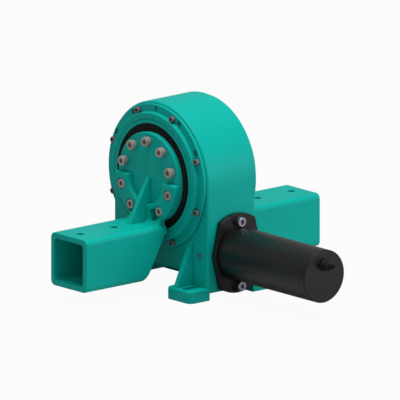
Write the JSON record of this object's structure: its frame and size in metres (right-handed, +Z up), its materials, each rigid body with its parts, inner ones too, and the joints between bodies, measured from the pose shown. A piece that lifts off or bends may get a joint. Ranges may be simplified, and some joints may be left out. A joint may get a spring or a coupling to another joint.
{
  "type": "solar slew drive",
  "caption": "Enclosed worm slewing drive with an upright cast drum housing, slotted feet, a side-mounted planetary gearmotor and a square torque-tube socket on each side",
  "frame": {"origin": "Middle of the four foot slots, on the base plane", "axes": "+X runs along the torque tube to the rear socket, +Z is up, and the gearmotor points to -Y"},
  "size_m": [0.499, 0.4875, 0.3085],
  "materials": {
    "teal_paint": "satin enamel over a casting",
    "motor_black": "satin black enamel",
    "gland_black": "moulded nylon",
    "seal_rubber": "black nitrile",
    "hub_screw": "plain steel",
    "dark_screw": "browned steel",
    "zinc_screw": "bright zinc",
    "gear_steel": "ground steel",
    "bronze": "turned bronze",
    "magnet": "sintered ferrite"
  },
  "bodies": {
    "root": {"housing": "teal_paint", "front_cover": "teal_paint", "rear_cover": "teal_paint", "front_seal": "seal_rubber", "rear_seal": "seal_rubber", "front_cover_screws": "dark_screw", "rear_cover_screws": "dark_screw", "outer_race": "gear_steel", "near_bearing_cup": "gear_steel", "far_bearing_cup": "gear_steel", "worm_seal": "seal_rubber", "bearing_circlip": "gear_steel", "worm_end_cap": "teal_paint", "end_cap_oring": "seal_rubber", "end_cap_screws": "dark_screw", "motor_flange": "motor_black", "output_bush": "bronze", "motor_flange_screws": "zinc_screw", "gearbox_case": "motor_black", "ring_gear": "gear_steel", "motor_tube": "motor_black", "field_magnets": "magnet", "end_bell": "motor_black", "front_rotor_bush": "bronze", "rear_rotor_bush": "bronze", "gland_body": "gland_black", "gland_nut": "gland_black", "grease_nipple": "zinc_screw"},
    "output": {"slew_ring": "gear_steel", "front_socket": "teal_paint", "rear_socket": "teal_paint", "front_hub_screws": "hub_screw", "rear_hub_screws": "hub_screw"},
    "ball_set": {"race_balls": "gear_steel", "ball_cage": "bronze"},
    "worm": {"worm_shaft": "gear_steel", "near_bearing_cone": "gear_steel", "far_bearing_cone": "gear_steel", "planet_carrier": "gear_steel"},
    "near_rollers": {"near_bearing_rollers": "gear_steel"},
    "far_rollers": {"far_bearing_rollers": "gear_steel"},
    "planet_1": {"planet_gear_1": "gear_steel"},
    "planet_2": {"planet_gear_2": "gear_steel"},
    "planet_3": {"planet_gear_3": "gear_steel"},
    "rotor": {"rotor": "gear_steel"}
  },
  "joints": [
    {"name": "output_turn", "type": "hinge", "parent": "root", "child": "output", "pos_m": [0, 0, 0.186], "axis": [1, 0, 0], "range_deg": [-60, 60]},
    {"name": "ball_set_turn", "type": "hinge", "parent": "root", "child": "ball_set", "pos_m": [-0.038, 0, 0.186], "axis": [1, 0, 0], "range_deg": [-28.22, 28.22]},
    {"name": "worm_turn", "type": "hinge", "parent": "root", "child": "worm", "pos_m": [0, 0, 0.072], "axis": [0, 1, 0], "range_deg": [-3664.16, 3664.16]},
    {"name": "near_rollers_turn", "type": "hinge", "parent": "root", "child": "near_rollers", "pos_m": [0, -0.0895, 0.072], "axis": [0, 1, 0], "range_deg": [-1619.33, 1619.33]},
    {"name": "far_rollers_turn", "type": "hinge", "parent": "root", "child": "far_rollers", "pos_m": [0, 0.0745, 0.072], "axis": [0, 1, 0], "range_deg": [-1619.33, 1619.33]},
    {"name": "planet_1_spin", "type": "hinge", "parent": "worm", "child": "planet_1", "pos_m": [0.02475, -0.164, 0.072], "axis": [0, 1, 0], "range_deg": [-11724.21, 11724.21]},
    {"name": "planet_2_spin", "type": "hinge", "parent": "worm", "child": "planet_2", "pos_m": [-0.01238, -0.164, 0.09343], "axis": [0, 1, 0], "range_deg": [-11724.21, 11724.21]},
    {"name": "planet_3_spin", "type": "hinge", "parent": "worm", "child": "planet_3", "pos_m": [-0.01238, -0.164, 0.05057], "axis": [0, 1, 0], "range_deg": [-11724.21, 11724.21]},
    {"name": "rotor_spin", "type": "hinge", "parent": "root", "child": "rotor", "pos_m": [0, -0.26, 0.072], "axis": [0, 1, 0], "range_deg": [-13433.92, 13433.92]}
  ],
  "couplings": [
    {"joint": "ball_set_turn", "follows": "output_turn", "ratio": 0.46154},
    {"joint": "worm_turn", "follows": "output_turn", "ratio": -61},
    {"joint": "near_rollers_turn", "follows": "output_turn", "ratio": -26.953},
    {"joint": "far_rollers_turn", "follows": "output_turn", "ratio": -26.953},
    {"joint": "planet_1_spin", "follows": "output_turn", "ratio": 195.2},
    {"joint": "planet_2_spin", "follows": "output_turn", "ratio": 195.2},
    {"joint": "planet_3_spin", "follows": "output_turn", "ratio": 195.2},
    {"joint": "rotor_spin", "follows": "output_turn", "ratio": -223.67}
  ]
}
